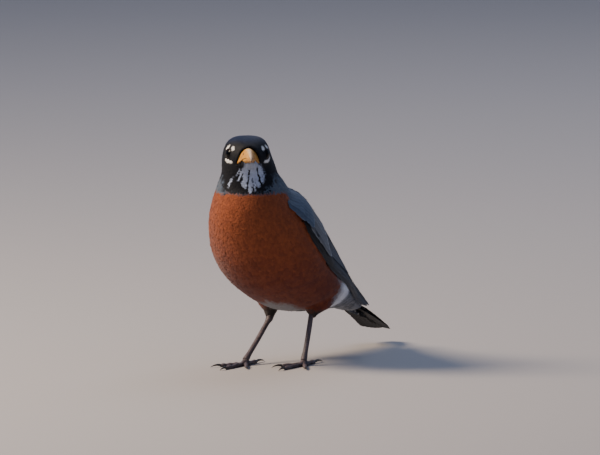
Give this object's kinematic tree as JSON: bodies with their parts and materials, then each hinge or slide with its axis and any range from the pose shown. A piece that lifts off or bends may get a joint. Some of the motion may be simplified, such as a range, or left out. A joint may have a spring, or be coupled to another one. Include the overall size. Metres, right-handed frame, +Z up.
{
  "type": "american robin",
  "caption": "Life-size still model of a thrush-like songbird standing on both feet, grey back, brick-red breast, dark hood, head turned to its left.",
  "frame": {"origin": "on the floor under the middle of the whole length and width", "axes": "the bird faces -Y, its left side is +X, +Z is up"},
  "size_m": [0.0654, 0.1846, 0.1315],
  "materials": {
    "rump_feathers": "soft matt feather coat, slate grey above and pale below",
    "breast_feathers": "soft matt feather coat, brick red",
    "hood_feathers": "short close feathers, black with a faint blue sheen",
    "wing_feathers": "firm flight feathers, grey-brown with paler edges",
    "tail_feathers": "firm tail feathers, blackish",
    "eye": "wet gloss, very dark brown",
    "bill": "smooth horn, orange-yellow",
    "leg_skin": "scaly skin, dull brown",
    "claw": "satin horn, blackish"
  },
  "bodies": {
    "root": {"bill_lower": "bill", "bill_upper": "bill", "claw_left_hallux": "claw", "claw_left_inner": "claw", "claw_left_middle": "claw", "claw_left_outer": "claw", "claw_right_hallux": "claw", "claw_right_inner": "claw", "claw_right_middle": "claw", "claw_right_outer": "claw", "eye_left": "eye", "eye_right": "eye", "head": "hood_feathers", "neck": "hood_feathers", "rump": "rump_feathers", "tail_left": "tail_feathers", "tail_right": "tail_feathers", "tarsus_left": "leg_skin", "tarsus_right": "leg_skin", "thigh_left": "breast_feathers", "thigh_right": "breast_feathers", "toe_left_hallux": "leg_skin", "toe_left_inner": "leg_skin", "toe_left_middle": "leg_skin", "toe_left_outer": "leg_skin", "toe_right_hallux": "leg_skin", "toe_right_inner": "leg_skin", "toe_right_middle": "leg_skin", "toe_right_outer": "leg_skin", "trunk": "breast_feathers", "wing_left_coverts": "wing_feathers", "wing_left_primaries": "wing_feathers", "wing_left_secondaries": "wing_feathers", "wing_right_coverts": "wing_feathers", "wing_right_primaries": "wing_feathers", "wing_right_secondaries": "wing_feathers"}
  },
  "joints": []
}
